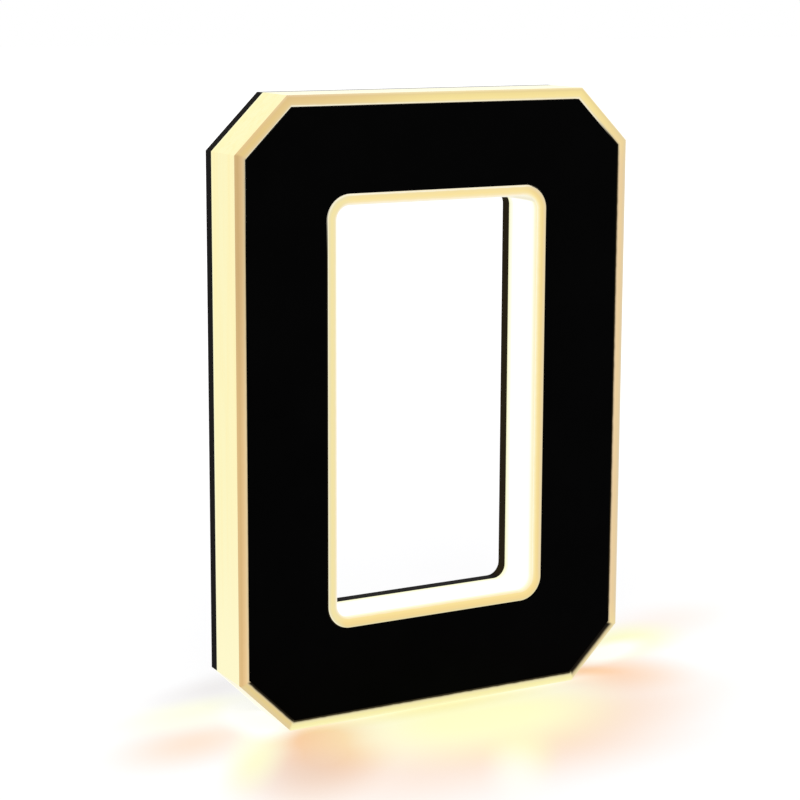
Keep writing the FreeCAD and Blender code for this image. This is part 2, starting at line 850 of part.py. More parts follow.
def make_inlet_nut():
    body = new_body("inlet_nut", *INLET_PLACE)
    profile = new_sketch(body, "nut_profile", LAND)
    hexagon(profile, size("inlet_nut_circle"))
    circles(profile, [(ZERO, ZERO)], size("inlet_barrel_radius") + size("thread_play"))
    pad(body, "nut_block", profile, size("inlet_nut"))
    return body


def make_inlet_insulator():
    """The disc that closes the barrel and carries the pin and the spring."""
    body = new_body("inlet_insulator", *INLET_PLACE)
    stem = size("pin_stem_radius") + size("wire_play")
    plug = size("inlet_bore_radius") - size("wire_play")
    barrel = size("inlet_barrel_radius")
    top = BARREL_FRONT + size("insulator_plug")
    corners = [
        (stem, top),
        (plug, top),
        (plug, BARREL_FRONT),
        (barrel, BARREL_FRONT),
        (barrel, TAG_BACK),
        (stem, TAG_BACK),
    ]
    turned_profile(body, corners)
    slot = new_sketch(body, "spring_slot_profile", top)
    play = size("wire_play")
    half = size("spring_width") / 2 + play
    low = -(size("spring_reach") + play)
    rectangle(slot, -half, low, half, -(size("spring_reach") - size("spring_thickness") - play))
    depth = size("insulator_plug") + size("insulator_flange")
    cut(body, "spring_slot", slot, depth, forwards=True)
    return body


def add_tag(body, foot_from, foot_to, middle):
    """A solder tag: a foot lying on the insulator and a flat upright standing on it."""
    half = size("tag_width") / 2
    foot = new_sketch(body, f"{body.Name}_foot_profile", TAG_BACK)
    rectangle(foot, -half, foot_from, half, foot_to)
    pad(body, f"{body.Name}_foot", foot, size("tag_foot"))
    reach = size("tag_height") / 2
    upright = new_sketch(body, f"{body.Name}_tag_profile", TAG_BACK - size("tag_foot"))
    rectangle(upright, -half, middle - reach, half, middle + reach)
    pad(body, f"{body.Name}_tag", upright, size("tag_length"))


def make_inlet_pin():
    body = new_body("inlet_pin", *INLET_PLACE)
    pin, stem = size("pin_radius"), size("pin_stem_radius")
    nose = size("pin_nose")
    tip = REAR - size("pin_setback")
    root = BARREL_FRONT + size("insulator_plug")
    corners = [
        (ZERO, tip),
        (pin - nose, tip),
        (pin, tip - nose),
        (pin, root),
        (stem, root),
        (stem, TAG_BACK),
        (ZERO, TAG_BACK),
    ]
    turned_profile(body, corners)
    middle = size("pole_pitch") / 2
    add_tag(body, -stem / 2, middle + size("tag_height") / 2, middle)
    return body


def make_inlet_spring():
    """The side contact, a strip along the bore that passes through the insulator to its tag."""
    body = new_body("inlet_spring", *INLET_PLACE)
    half, low = size("spring_width") / 2, -size("spring_reach")
    high = low + size("spring_thickness")
    strip_end = REAR - size("inlet_flange")
    strip = new_sketch(body, "strip_profile", strip_end)
    rectangle(strip, -half, low, half, high)
    pad(body, "strip", strip, strip_end - TAG_BACK)
    middle = -size("pole_pitch") / 2
    add_tag(body, low, middle + size("tag_height") / 2, middle)
    return body


# ---------------------------------------------------------------- assembly


def make_boards():
    chip, resistor = make_chip(), make_resistor()
    tall, wide = OPEN_Z * 2, OPEN_X * 2
    short = OPEN_X - size("inlet_room")
    off = (OPEN_X + size("inlet_room")) / 2
    layout = [
        ("left", -LINE_X, ZERO, tall, True),
        ("right", LINE_X, ZERO, tall, True),
        ("top", ZERO, LINE_Z, wide, False),
        ("bottom_left", -off, -LINE_Z, short, False),
        ("bottom_right", off, -LINE_Z, short, False),
    ]
    made = []
    for side, x, z, length, upright in layout:
        made += make_lit_board(side, x, z, length, upright, chip, resistor)
    return made


def make_connectors():
    """One at each board end that a wire reaches. A turn of 90 about Y points a connector right."""
    ends = [(LINE_X, OPEN_Z, 0), (-LINE_X, OPEN_Z, 0)]
    ends += [(LINE_X, -OPEN_Z, 180), (-LINE_X, -OPEN_Z, 180)]
    ends += [(OPEN_X, LINE_Z, 90), (OPEN_X, -LINE_Z, 90)]
    ends += [(-OPEN_X, LINE_Z, -90), (-OPEN_X, -LINE_Z, -90)]
    ends += [(-size("inlet_room"), -LINE_Z, 90)]
    return scatter("wire_connectors", make_connector(), ends)


def make_link_wires():
    """Red follows the outer side of each corner and black the inner side."""
    turned = zip(four_corners(OPEN_X, -OPEN_Z), (0, 90, 180, 270))
    corners = [(x, z, angle) for (x, z), angle in turned]
    pole = size("pole_pitch") / 2
    red = make_link_wire("red_link_pattern", STROKE / 2 + pole)
    black = make_link_wire("black_link_pattern", STROKE / 2 - pole)
    return [scatter("link_wires_red", red, corners), scatter("link_wires_black", black, corners)]


def make_fasteners():
    screws = [(x, z, 0) for x, z in SCREW_PLACES]
    studs = [(x, z, 0) for x, z in STUD_PLACES]
    body_insert = make_insert(
        "body_insert_pattern",
        SEAT,
        size("body_insert_radius"),
        size("screw_radius") + size("thread_play"),
        size("body_insert_length"),
    )
    stud_insert = make_insert(
        "stud_insert_pattern",
        REAR,
        size("stud_insert_radius"),
        size("stud_bore_radius"),
        size("stud_insert_length"),
    )
    return [
        scatter("back_screws", make_screw(), screws),
        scatter("body_inserts", body_insert, screws),
        scatter("mount_inserts", stud_insert, studs),
    ]


def make_inlet():
    pole = size("pole_pitch") / 2
    return [
        make_inlet_housing(),
        make_inlet_washer(),
        make_inlet_nut(),
        make_inlet_insulator(),
        make_inlet_pin(),
        make_inlet_spring(),
        make_feed_wire("feed_wire_red", pole),
        make_feed_wire("feed_wire_black", -pole),
    ]


nodes = [make_light_body(), make_face_plate(), make_face_bond(), make_back_plate()]
nodes += [make_seal("outer_seal", digit_outline), make_seal("inner_seal", opening_outline)]
nodes += make_fasteners()
nodes += make_boards()
nodes += [make_connectors()]
nodes += make_link_wires()
nodes += make_inlet()
doc.recompute()

for thing in doc.Objects:
    if "Invalid" in thing.State or "Error" in thing.State:
        raise RuntimeError(f"{thing.Name} failed: {thing.State}")
for node in nodes:
    if node.Shape.isNull() or not node.Shape.isValid() or not node.Shape.Solids:
        raise RuntimeError(f"{node.Label} has no valid shape")

os.makedirs("parts", exist_ok=True)
for node in nodes:
    node.Shape.exportStep(f"parts/{node.Label}.step")
    print(f"{node.Label}: {len(node.Shape.Solids)} solid(s), {node.Shape.Volume:.1f} mm3")
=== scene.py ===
"""Looks for the free-standing lit digit: materials, threads, floor, light and camera round its frame."""
import math

import bmesh
import bpy
from mathutils import Matrix, Vector


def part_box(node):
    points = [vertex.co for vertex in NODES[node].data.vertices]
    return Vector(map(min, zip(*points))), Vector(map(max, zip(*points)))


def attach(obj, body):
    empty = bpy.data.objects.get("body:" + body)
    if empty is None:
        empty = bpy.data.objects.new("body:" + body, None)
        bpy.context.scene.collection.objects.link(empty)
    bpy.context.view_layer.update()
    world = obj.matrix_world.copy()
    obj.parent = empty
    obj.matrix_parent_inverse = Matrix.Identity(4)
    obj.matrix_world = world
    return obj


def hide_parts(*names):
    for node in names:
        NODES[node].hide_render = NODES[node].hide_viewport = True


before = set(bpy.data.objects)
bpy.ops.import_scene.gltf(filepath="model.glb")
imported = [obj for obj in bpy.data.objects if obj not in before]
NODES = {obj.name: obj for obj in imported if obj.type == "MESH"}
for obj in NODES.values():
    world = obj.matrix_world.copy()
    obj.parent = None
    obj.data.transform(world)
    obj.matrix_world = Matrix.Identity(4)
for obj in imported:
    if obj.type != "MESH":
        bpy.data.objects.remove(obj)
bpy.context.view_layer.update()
MM = 0.001

# The digit's outline, millimetres. Half sizes are about its middle.
BODY_LOW, BODY_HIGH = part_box("light_body")
HALF_WIDTH = BODY_HIGH.x / MM
HALF_HEIGHT = (BODY_HIGH.z - BODY_LOW.z) / 2 / MM
FRONT = BODY_LOW.y / MM
DEPTH = BODY_HIGH.y / MM - FRONT
CORNER_LEG = 17.5
STROKE = 34.2
OPENING_RADIUS = 4.5
RIM = 3.3

# The gap round the face plate starts at the rim's end, softly.
GAP_EDGE = (RIM - 0.12, RIM - 0.02)

# What the opal gives off, and what the studio's light falls on, as shares of its colour.
OPAL_GLOW = 0.9
OPAL_PAINT = 0.12

# How far a surface's normal points up (z) or back (y) where a look begins, and where it is full.
FACES_UP = (0.8, 0.95)
FACES_DOWN = (-0.45, -0.65)
FACES_FRONT = (-0.4, -0.6)
FACES_BACK = (0.3, 0.6)

# The roughness of sheets varies by this much in all. The back plate's is polished, with matt added.
ROUGH_SPREAD = 0.16
BACK_POLISHED = 0.04
BACK_MATT = 0.38


def tone(red, green, blue, gain=1.0):
    """A screen colour in steps of 255 as the linear colour that a shader takes."""
    linear = []
    for step in (red, green, blue):
        share = step / 255
        value = share / 12.92 if share <= 0.04045 else ((share + 0.055) / 1.055) ** 2.4
        linear.append(gain * value)
    return (*linear, 1.0)


def grey(level):
    """A linear grey."""
    return (level, level, level, 1.0)


class Look:
    """A Principled material, and short ways to make the nodes that feed it."""

    def __init__(self, name, **sockets):
        self.material = bpy.data.materials.new(name)
        self.material.use_nodes = True
        self.tree = self.material.node_tree
        self.tree.nodes.clear()
        self.shader = self.tree.nodes.new("ShaderNodeBsdfPrincipled")
        output = self.tree.nodes.new("ShaderNodeOutputMaterial")
        self.tree.links.new(self.shader.outputs["BSDF"], output.inputs["Surface"])
        coords = self.tree.nodes.new("ShaderNodeTexCoord")
        self.place = self.scale(coords.outputs["Object"], 1 / MM)
        self.normal = coords.outputs["Normal"]
        for socket, value in sockets.items():
            self.feed(socket.replace("_", " "), value)

    def feed(self, socket, value):
        """Sets a shader socket, or links it to what a node gives."""
        self._put(self.shader.inputs[socket], value)

    def _put(self, socket, value):
        if isinstance(value, bpy.types.NodeSocket):
            self.tree.links.new(value, socket)
        elif value is not None:
            socket.default_value = value

    def axes(self, vector):
        """The x, y and z of a vector."""
        node = self.tree.nodes.new("ShaderNodeSeparateXYZ")
        self._put(node.inputs[0], vector)
        return node.outputs[0], node.outputs[1], node.outputs[2]

    def calc(self, operation, a, b=None, clamp=False):
        """A Math node of one or two numbers."""
        node = self.tree.nodes.new("ShaderNodeMath")
        node.operation = operation
        node.use_clamp = clamp
        self._put(node.inputs[0], a)
        self._put(node.inputs[1], b)
        return node.outputs[0]

    def plus(self, a, b):
        return self.calc("ADD", a, b)

    def minus(self, a, b):
        return self.calc("SUBTRACT", a, b)

    def times(self, a, b):
        return self.calc("MULTIPLY", a, b)

    def least(self, a, b):
        return self.calc("MINIMUM", a, b)

    def most(self, a, b):
        return self.calc("MAXIMUM", a, b)

    def size(self, value):
        """A number without its sign."""
        return self.calc("ABSOLUTE", value)

    def step(self, value, low, high):
        """0 below low, 1 above high, and smooth between; falls instead where low is the larger."""
        node = self.tree.nodes.new("ShaderNodeMapRange")
        node.interpolation_type = "SMOOTHSTEP"
        self._put(node.inputs["Value"], value)
        turned = low > high
        self._put(node.inputs["From Min"], min(low, high))
        self._put(node.inputs["From Max"], max(low, high))
        self._put(node.inputs["To Min"], 1.0 if turned else 0.0)
        self._put(node.inputs["To Max"], 0.0 if turned else 1.0)
        return node.outputs["Result"]

    def vector(self, operation, a, b=None):
        """A Vector Math node; LENGTH gives a number."""
        node = self.tree.nodes.new("ShaderNodeVectorMath")
        node.operation = operation
        self._put(node.inputs[0], a)
        self._put(node.inputs[1], b)
        return node.outputs["Value" if operation == "LENGTH" else "Vector"]

    def scale(self, vector, factor):
        """A vector or colour times a number, which may itself come from a node."""
        node = self.tree.nodes.new("ShaderNodeVectorMath")
        node.operation = "SCALE"
        self._put(node.inputs[0], vector)
        self._put(node.inputs["Scale"], factor)
        return node.outputs[0]

    def noise(self, scale, stretch=(1, 1, 1), detail=3.0, roughness=0.5):
        """Noise with a grain of about 1/scale mm, 0 to 1."""
        node = self.tree.nodes.new("ShaderNodeTexNoise")
        self._put(node.inputs["Vector"], self.vector("MULTIPLY", self.place, stretch))
        self._put(node.inputs["Scale"], scale)
        self._put(node.inputs["Detail"], detail)
        self._put(node.inputs["Roughness"], roughness)
        return node.outputs["Fac"]

    def clouded(self, grain):
        """A fine grain with broad clouds over it."""
        return self.plus(self.times(self.noise(0.05), 0.6), self.times(grain, 0.4))

    def ramp(self, value, *stops):
        """A colour ramp through (place, colour) stops."""
        node = self.tree.nodes.new("ShaderNodeValToRGB")
        node.color_ramp.interpolation = "EASE"
        points = node.color_ramp.elements
        while len(points) < len(stops):
            points.new(0.5)
        for point, (place, colour) in zip(points, stops):
            point.position = place
            point.color = colour
        self._put(node.inputs["Fac"], value)
        return node.outputs["Color"]

    def tones(self, value, *stops):
        """A ramp through screen tones, each stop a place, red, green, blue and perhaps a gain."""
        return self.ramp(value, *((place, tone(*colour)) for place, *colour in stops))

    def mottle(self, value, dark, light):
        """From the dark colour to the light one over the middle of a noise's range."""
        return self.ramp(value, (0.3, dark), (0.7, light))

    def mix(self, factor, a, b):
        """The colour a where the factor is 0, and b where it is 1."""
        node = self.tree.nodes.new("ShaderNodeMix")
        node.data_type = "RGBA"
        self._put(node.inputs["Factor"], factor)
        for socket, value in (("A", a), ("B", b)):
            colour = next(s for s in node.inputs if s.name == socket and s.type == "RGBA")
            self._put(colour, value)
        return next(s for s in node.outputs if s.type == "RGBA")

    def within(self, x, y, long, wide, turn):
        """The distance from the middle of an upright elliptic cylinder, 1 at its wall."""
        node = self.tree.nodes.new("ShaderNodeMapping")
        node.vector_type = "TEXTURE"
        self._put(node.inputs["Vector"], self.place)
        node.inputs["Location"].default_value = (x, y, 0)
        node.inputs["Rotation"].default_value = (0, 0, math.radians(turn))
        node.inputs["Scale"].default_value = (long, wide, 1)
        return self.vector("LENGTH", node.outputs["Vector"])

    def bump(self, height, depth, strength):
        """Relief of the given depth in millimetres."""
        node = self.tree.nodes.new("ShaderNodeBump")
        node.inputs["Strength"].default_value = strength
        node.inputs["Distance"].default_value = depth * MM
        self._put(node.inputs["Height"], height)
        self.feed("Normal", node.outputs[0])


# The opal's look. A step of at.x, at.z or at.along says between which places, in millimetres, one
# tone goes over into the next.
class OpalPlace:
    """Where a point of the light body lies, in millimetres, and which way its surface faces."""

    def __init__(self, look):
        self.x, y, self.z = look.axes(look.place)
        _, self.backward, self.upward = look.axes(look.normal)
        self.depth = look.calc("DIVIDE", look.minus(y, FRONT), DEPTH)
        across = look.size(self.x)
        self.along = look.size(look.minus(self.z, HALF_HEIGHT))
        self.outer, self.is_cut = outer_distance(look, across, self.along)
        self.inner = opening_distance(look, across, self.along)
        self.by_opening = look.step(look.minus(self.outer, self.inner), -1.0, 1.0)
        # The rim's bands waver by this much.
        self.grain = look.times(look.minus(look.noise(0.35), 0.5), 0.35)


def outer_distance(look, across, along):
    """How far a point lies inside the outer outline, and whether a cut corner is the nearest part."""
    side = look.minus(HALF_WIDTH, across)
    end = look.minus(HALF_HEIGHT, along)
    cut = look.minus(HALF_WIDTH + HALF_HEIGHT - CORNER_LEG, look.plus(across, along))
    outer = look.least(look.least(side, end), look.times(cut, math.sqrt(0.5)))
    spare = look.least(look.minus(side, outer), look.minus(end, outer))
    return outer, look.step(spare, 0.0, 0.8)


def opening_distance(look, across, along):
    """How far a point lies outside the opening, whose corners are round."""
    in_x = look.minus(across, HALF_WIDTH - STROKE - OPENING_RADIUS)
    in_z = look.minus(along, HALF_HEIGHT - STROKE - OPENING_RADIUS)
    past_x = look.most(in_x, 0.0)
    past_z = look.most(in_z, 0.0)
    far = look.calc("SQRT", look.plus(look.times(past_x, past_x), look.times(past_z, past_z)))
    near = look.least(look.most(in_x, in_z), 0.0)
    return look.minus(look.plus(far, near), OPENING_RADIUS)


def left_rim(look, at, share):
    """Amber, its deeper edge band painted shade, brighter low down as painted light, yellower on the
    upper cut.
    """
    amber = look.tones(share, (0.05, 208, 176, 124), (0.25, 206, 173, 120), (0.5, 214, 181, 130),
                       (0.7, 220, 189, 139), (0.86, 218, 195, 152), (1.0, 170, 152, 118))
    on_cut = look.tones(share, (0.05, 226, 196, 140), (0.5, 229, 200, 134), (0.85, 228, 203, 150),
                        (1.0, 226, 214, 182))
    # Painted light: the rim grows brighter low down, and more so at the foot.
    low_painted_light = look.times(look.step(at.z, 150.0, 90.0), 0.13)
    foot_painted_light = look.times(look.step(at.z, 60.0, 10.0), 0.07)
    amber = look.scale(amber, look.plus(look.plus(low_painted_light, foot_painted_light), 1.0))
    upper_cut = look.times(at.is_cut, look.step(at.z, 80.0, 120.0))
    return look.mix(upper_cut, amber, on_cut)


def top_rim(look, at, share):
    """Pale yellow, and deeper towards the left with painted shade."""
    top = look.tones(share, (0.05, 240, 222, 172), (0.2, 236, 215, 152), (0.4, 244, 223, 152),
                     (0.75, 249, 229, 158), (0.88, 244, 227, 172), (1.0, 250, 242, 206))
    left = look.tones(share, (0.05, 228, 202, 156), (0.25, 226, 196, 138), (0.7, 230, 202, 142),
                      (0.88, 229, 207, 158), (1.0, 254, 246, 214))
    return look.mix(look.step(at.x, 6.0, -52.0), top, left)


def right_rim(look, share):
    """Pale, and dark next to the face with painted shade, as the face reaches further out there in the
    photograph.
    """
    return look.tones(share, (0.05, 230, 216, 188), (0.22, 228, 206, 166), (0.5, 235, 207, 159),
                      (0.76, 237, 209, 164), (0.9, 196, 174, 138), (1.0, 70, 60, 42))


def foot_rim(look, share):
    """The brightest yellow of the rim as painted light, and black next to the face as painted shade."""
    return look.tones(share, (0.05, 254, 248, 190), (0.4, 250, 240, 174), (0.64, 240, 230, 176),
                      (0.75, 196, 186, 146), (0.85, 60, 53, 33), (1.0, 6, 4, 2))


def low_cut_rim(look, at, share):
    """The lower cut corners: painted shade carries the face's black far out there, the most so on the
    right.
    """
    left = look.tones(share, (0.05, 226, 205, 156), (0.5, 230, 206, 142), (0.66, 222, 202, 154),
                      (0.75, 150, 138, 110), (0.82, 40, 35, 24), (1.0, 6, 4, 2))
    right = look.tones(share, (0.05, 242, 228, 184), (0.28, 226, 208, 158), (0.44, 192, 176, 136),
                       (0.58, 112, 102, 76), (0.68, 30, 25, 15), (1.0, 6, 4, 2))
    return look.mix(look.step(at.x, -10.0, 10.0), left, right)


def outer_rim(look, at):
    """The lit rim outside the face. Its share is 0 at the digit's edge and 1 at the face."""
    share = look.calc("DIVIDE", look.plus(at.outer, at.grain), RIM)
    by_ends = look.step(at.along, 70.0, 98.0)
    rim = look.mix(by_ends, right_rim(look, share), top_rim(look, at, share))
    at_foot = look.step(at.z, 24.0, 2.0)
    rim = look.mix(at_foot, rim, foot_rim(look, share))
    on_left = look.times(look.step(at.x, -50.0, -62.0), look.step(at.z, -6.0, 14.0))
    rim = look.mix(on_left, rim, left_rim(look, at, share))
    low_cut = look.times(at.is_cut, look.step(at.z, 40.0, 30.0))
    return look.mix(low_cut, rim, low_cut_rim(look, at, share))


def opening_rim(look, at):
    """The lit rim round the opening: palest at its edge, and deeper along the foot and the right."""
    share = look.calc("DIVIDE", look.plus(at.inner, at.grain), RIM)
    top = look.tones(share, (0.03, 255, 251, 234), (0.16, 255, 242, 208), (0.32, 251, 232, 176),
                     (0.55, 251, 228, 160), (0.84, 246, 225, 164), (1.0, 255, 252, 230))
    left = look.tones(share, (0.03, 255, 246, 226), (0.14, 250, 238, 208), (0.28, 243, 228, 174),
                      (0.55, 245, 229, 167), (0.8, 238, 226, 177), (1.0, 252, 246, 214))
    right = look.tones(share, (0.03, 255, 249, 216), (0.16, 254, 238, 184), (0.36, 249, 226, 158),
                       (0.58, 243, 217, 150), (0.84, 237, 215, 166), (1.0, 226, 210, 172))
    foot = look.tones(share, (0.03, 255, 238, 196), (0.2, 252, 228, 156), (0.6, 247, 219, 149),
                      (0.84, 238, 217, 154), (1.0, 236, 226, 184))
    rim = look.mix(look.step(at.x, -30.0, -35.0), top, left)
    rim = look.mix(look.step(at.x, 30.0, 36.0), rim, right)
    at_foot = look.times(look.step(at.z, 42.0, 34.0), look.step(at.x, -37.0, -33.0))
    return look.mix(at_foot, rim, foot)


def outer_wall(look, at, streak):
    """Pale yellow with faint standing streaks, paler low down, and duller where it faces up with painted
    shade.
    """
    wall = look.tones(at.depth, (0.0, 252, 238, 188), (0.08, 254, 244, 188), (0.6, 252, 245, 192),
                      (0.92, 253, 244, 186), (1.0, 255, 252, 206))
    streaks = look.times(look.step(streak, 0.42, 0.72), 0.55)
    wall = look.mix(streaks, wall, tone(254, 239, 176))
    wall = look.mix(look.step(at.z, 90.0, 10.0), wall, tone(254, 248, 202))
    # Painted shade where the wall faces up.
    return look.mix(look.step(at.upward, *FACES_UP), wall, tone(243, 240, 210))


def opening_wall(look, at):
    """White past the opal's own glow, with painted light that the walls throw on each other, and yellow
    at the front and back edges.
    """
    return look.tones(at.depth, (0.0, 254, 238, 182), (0.07, 255, 248, 212),
                      (0.16, 255, 255, 242, 1.1), (0.3, 255, 255, 255, 1.15),
                      (0.8, 255, 255, 255, 1.15), (0.92, 255, 255, 234), (1.0, 250, 248, 200))


def opal_walls(look, at, streak):
    """The walls outside and in the opening. Undersides are painted in the lit floor's tones: paler
    towards the floor, and greyer higher up with painted shade.
    """
    wall = look.mix(at.by_opening, outer_wall(look, at, streak), opening_wall(look, at))
    under = look.mix(look.step(at.z, 0.0, CORNER_LEG), tone(252, 245, 224), tone(239, 233, 208))
    return look.mix(look.step(at.upward, *FACES_DOWN), wall, under)


def opal_gap(look, at):
    """The gap round the face plate: lit along the top, dim along the sides and the foot."""
    low = look.mix(look.step(at.z, 26.0, 20.0), tone(44, 36, 20), tone(6, 4, 2))
    on_top = look.step(look.minus(at.z, look.size(at.x)), 118.0, 134.0)
    gap = look.mix(on_top, low, tone(250, 238, 206))
    top_left = look.times(look.step(at.z, 150.0, 178.0), look.step(at.x, 0.0, -50.0))
    return look.mix(top_left, gap, tone(255, 248, 222))


def opal_look():
    """Opal acrylic lit from inside: the light follows the rim, the walls and the gap round the face."""
    look = Look("opal_acrylic", Specular_IOR_Level=0.05)
    at = OpalPlace(look)
    streak = look.noise(0.55, stretch=(1, 1, 0.03))
    rim = look.mix(at.by_opening, outer_rim(look, at), opening_rim(look, at))
    forward = look.step(at.backward, *FACES_FRONT)
    colour = look.mix(forward, opal_walls(look, at, streak), rim)
    in_gap = look.times(look.step(at.outer, *GAP_EDGE), look.step(at.inner, *GAP_EDGE))
    colour = look.mix(in_gap, colour, opal_gap(look, at))

    look.feed("Base Color", look.scale(colour, OPAL_PAINT))
    look.feed("Emission Color", look.scale(colour, OPAL_GLOW))
    look.feed("Emission Strength", 1.0)
    satin = look.noise(2.4, detail=4.0)
    look.feed("Roughness", look.plus(look.times(satin, 0.2), 0.3))
    look.bump(look.plus(satin, look.times(streak, 0.6)), depth=0.02, strength=0.5)
    return look


def sheet_look(name, dark, light, grain, relief, rough, specular):
    """A pigmented sheet: a cloudy ground, a fine grain and a roughness that varies with it."""
    look = Look(name, Specular_IOR_Level=specular)
    fine = look.noise(grain, detail=4.0, roughness=0.6)
    look.feed("Base Color", look.mottle(look.clouded(fine), tone(*dark), tone(*light)))
    look.feed("Roughness", look.plus(look.times(fine, ROUGH_SPREAD), rough - ROUGH_SPREAD / 2))
    look.bump(fine, relief, strength=0.6)
    return look


def back_look():
    """Black sheet with sawn, nearly lightless edges, and a satin grain where it faces back."""
    look = Look("black_back", Specular_IOR_Level=0.015)
    x, _, z = look.axes(look.place)
    sideways, backward, upward = look.axes(look.normal)
    grain = look.noise(3.5, detail=4.0, roughness=0.6)
    saw = look.noise(1.2, stretch=(0.3, 4.0, 0.3))

    # The opening's own edges. Its sides are brown, from the lit wall next to them.
    half_wide = HALF_WIDTH - STROKE + 5
    half_high = HALF_HEIGHT - STROKE + 5
    inside = look.times(look.step(look.size(x), half_wide + 1, half_wide),
                        look.step(look.size(look.minus(z, HALF_HEIGHT)), half_high + 1, half_high))
    opening_side = look.times(inside, look.step(look.size(sideways), 0.2, 0.8))
    edge = look.mottle(saw, tone(2, 1, 1), tone(12, 7, 3))
    edge = look.mix(opening_side, edge, tone(38, 30, 11))
    satin = look.mottle(look.clouded(grain), tone(22, 22, 23), tone(32, 32, 33))
    look.feed("Base Color", look.mix(look.step(backward, *FACES_BACK), edge, satin))

    # The undersides of the cuts glow with painted light, as they can't be told from the lit floor in the
    # photograph.
    under = look.step(upward, *FACES_DOWN)
    look.feed("Emission Color", look.mix(under, grey(0.0), tone(255, 252, 236)))
    look.feed("Emission Strength", 1.0)

    # Matt, but polished where it faces up outside the opening and mirrors the white above.
    matt = look.times(look.most(inside, look.step(upward, *reversed(FACES_UP))), BACK_MATT)
    look.feed("Roughness", look.plus(look.times(grain, ROUGH_SPREAD), look.plus(matt, BACK_POLISHED)))
    look.bump(look.plus(grain, look.times(saw, 0.5)), depth=0.02, strength=0.6)
    return look


def metal_look(name, dark, light, rough):
    """Turned metal with fine rings about the depth axis and small stains."""
    look = Look(name, Metallic=1.0)
    rings = look.noise(9.0, stretch=(0.12, 1.0, 0.12))
    stained = look.plus(look.times(rings, 0.5), look.times(look.noise(0.9), 0.5))
    look.feed("Base Color", look.mottle(stained, tone(*dark), tone(*light)))
    look.feed("Roughness", look.plus(look.times(rings, 0.2), rough))
    look.bump(rings, depth=0.006, strength=0.6)
    return look


# Sheets: dark and light tone, grain, relief in millimetres, roughness and specular level.
SHEETS = {
    "black_acrylic": ((1, 1, 1), (3, 3, 3), 5.0, 0.003, 0.3, 0.012),
    "bond_film": ((250, 240, 214), (255, 250, 232), 4.0, 0.005, 0.4, 0.3),
    "silicone": ((184, 184, 182), (204, 204, 200), 2.5, 0.02, 0.55, 0.4),
    "board_white": ((232, 232, 226), (244, 244, 240), 3.0, 0.01, 0.35, 0.5),
    "board_tape": ((214, 218, 222), (228, 231, 234), 2.0, 0.02, 0.6, 0.3),
    "led_chip": ((240, 206, 96), (252, 226, 132), 4.0, 0.01, 0.3, 0.5),
    "resistor_black": ((40, 40, 44), (58, 58, 62), 4.0, 0.01, 0.35, 0.5),
    "connector_white": ((230, 226, 214), (242, 239, 230), 3.0, 0.01, 0.4, 0.5),
    "wire_red": ((186, 30, 24), (208, 44, 36), 3.0, 0.01, 0.35, 0.5),
    "wire_black": ((30, 30, 30), (44, 44, 44), 3.0, 0.01, 0.35, 0.5),
    "inlet_black": ((28, 28, 30), (44, 44, 47), 4.5, 0.02, 0.42, 0.4),
    "washer_rubber": ((24, 24, 24), (40, 40, 40), 3.0, 0.03, 0.7, 0.3),
}
# Metals: dark and light tone, and roughness.
METALS = {
    "stainless": ((178, 176, 172), (222, 220, 214), 0.22),
    "brass": ((196, 158, 84), (232, 198, 122), 0.24),
    "inlet_nickel": ((196, 194, 186), (228, 225, 218), 0.16),
}
LOOKS = {"opal_acrylic": opal_look(), "black_back": back_look()}
LOOKS.update((name, sheet_look(name, *values)) for name, values in SHEETS.items())
LOOKS.update((name, metal_look(name, *values)) for name, values in METALS.items())

for node in NODES.values():
    for place in node.material_slots:
        place.material = LOOKS[place.material.name.split(".")[0]].material


# The inserts for wall studs, brass with an M4 thread. Sizes in millimetres. The groove is given as
# shares of the length, and the thread as (share of a turn, radius).
STUD_RADIUS = 2.8
STUD_GROOVE = 2.55
GROOVE_SHARES = (0.4, 0.6)
STUD_LEAD = 0.4
STUD_MOUTH = 2.06
THREAD_PITCH = 0.7
THREAD = ((0.0, 2.0), (0.12, 2.0), (0.42, 1.65), (0.68, 1.65))
ROUND = 28
SAME_POINT = 0.002
NO_LENGTH = 0.001
SMOOTH_UP_TO = math.radians(32)


def threaded_insert(mesh, x, z, mouth, end):
    """Adds one insert about (x, z), from its mouth in the back plate to its inner end."""
    length = mouth - end
    groove_start, groove_end = (mouth - share * length for share in GROOVE_SHARES)
    outside = ((STUD_MOUTH, mouth), (STUD_RADIUS, mouth), (STUD_RADIUS, groove_start),
               (STUD_GROOVE, groove_start), (STUD_GROOVE, groove_end), (STUD_RADIUS, groove_end),
               (STUD_RADIUS, end + STUD_LEAD), (STUD_RADIUS - STUD_LEAD, end), (STUD_MOUTH, end))

    def corner(step, radius, y):
        turn = 2 * math.pi * step / ROUND
        place = Vector((x - radius * math.sin(turn), y, z + radius * math.cos(turn)))
        return mesh.verts.new(place * MM)

    rings = [[corner(step, *point) for step in range(ROUND)] for point in outside]
    for one, other in zip(rings, rings[1:]):
        for step in range(ROUND):
            ahead = (step + 1) % ROUND
            mesh.faces.new((one[step], one[ahead], other[ahead], other[step]))

    # Each row runs on into the row a turn further in. Past the ends, rows close up on the mouth's ring.
    turns = math.ceil(length / THREAD_PITCH)
    rows = []
    for turn in range(-1, turns + 1):
        for share, radius in THREAD:
            row = []
            for step in range(ROUND):
                y = mouth - (turn + share + step / ROUND) * THREAD_PITCH
                inside = end < y < mouth
                row.append(corner(step, radius if inside else STUD_MOUTH, min(max(y, end), mouth)))
            rows.append(row)
    for number, row in enumerate(rows[:-1]):
        below = rows[number + 1]
        for step in range(ROUND - 1):
            mesh.faces.new((row[step], row[step + 1], below[step + 1], below[step]))
        if number + len(THREAD) + 1 < len(rows):
            far, farther = rows[number + len(THREAD)], rows[number + len(THREAD) + 1]
            mesh.faces.new((row[-1], far[0], farther[0], below[-1]))


